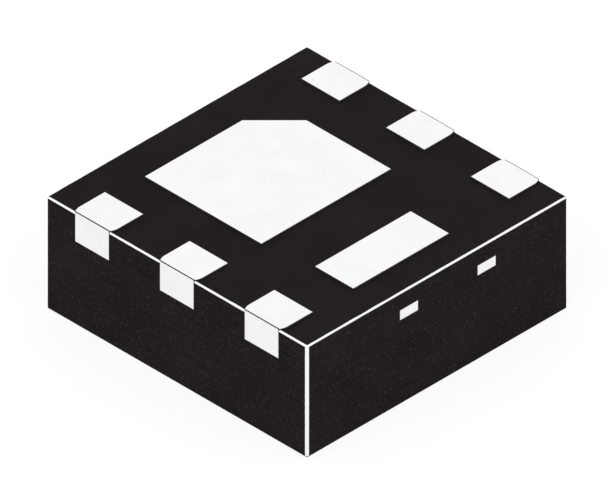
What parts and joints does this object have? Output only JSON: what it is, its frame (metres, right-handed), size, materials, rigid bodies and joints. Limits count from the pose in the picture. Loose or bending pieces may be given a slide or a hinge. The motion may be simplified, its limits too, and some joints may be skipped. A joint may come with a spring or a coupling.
{
  "type": "power mosfet",
  "caption": "Power transistor in a square leadless moulded package, solder side up, with flat pads and wettable leads along two sides.",
  "frame": {"origin": "middle of the flat marked face, which the part lies on", "axes": "+Z from the marked face to the solder pads, +X along the rows of leads from the drain leads to the gate and source leads, +Y towards the row with the first lead and the gate"},
  "size_m": [0.002, 0.002, 0.0008],
  "materials": {
    "moulding": "black filled epoxy, sawn sides, fine mould grain",
    "tin": "matte electroplated tin",
    "copper": "etched copper, inside the mould",
    "silver": "spot plated silver, inside the mould",
    "solder": "soft solder, inside the mould",
    "silicon": "sawn silicon, inside the mould",
    "die_metal": "sputtered aluminium, inside the mould"
  },
  "bodies": {
    "root": {"mould_body": "moulding", "lead_plating_1": "tin", "lead_plating_2": "tin", "lead_plating_3": "tin", "lead_plating_4": "tin", "lead_plating_5": "tin", "lead_plating_6": "tin", "tie_plating_1": "tin", "tie_plating_2": "tin", "tie_plating_3": "tin", "tie_plating_4": "tin", "drain_pad_plating": "tin", "source_pad_plating": "tin", "drain_paddle": "copper", "source_post": "copper", "gate_lead": "copper", "gate_wire": "copper", "source_clip": "copper", "gate_silver": "silver", "die_attach": "solder", "clip_solder_on_die": "solder", "clip_solder_on_post": "solder", "silicon_die": "silicon", "source_metal": "die_metal", "gate_metal": "die_metal"}
  },
  "joints": []
}
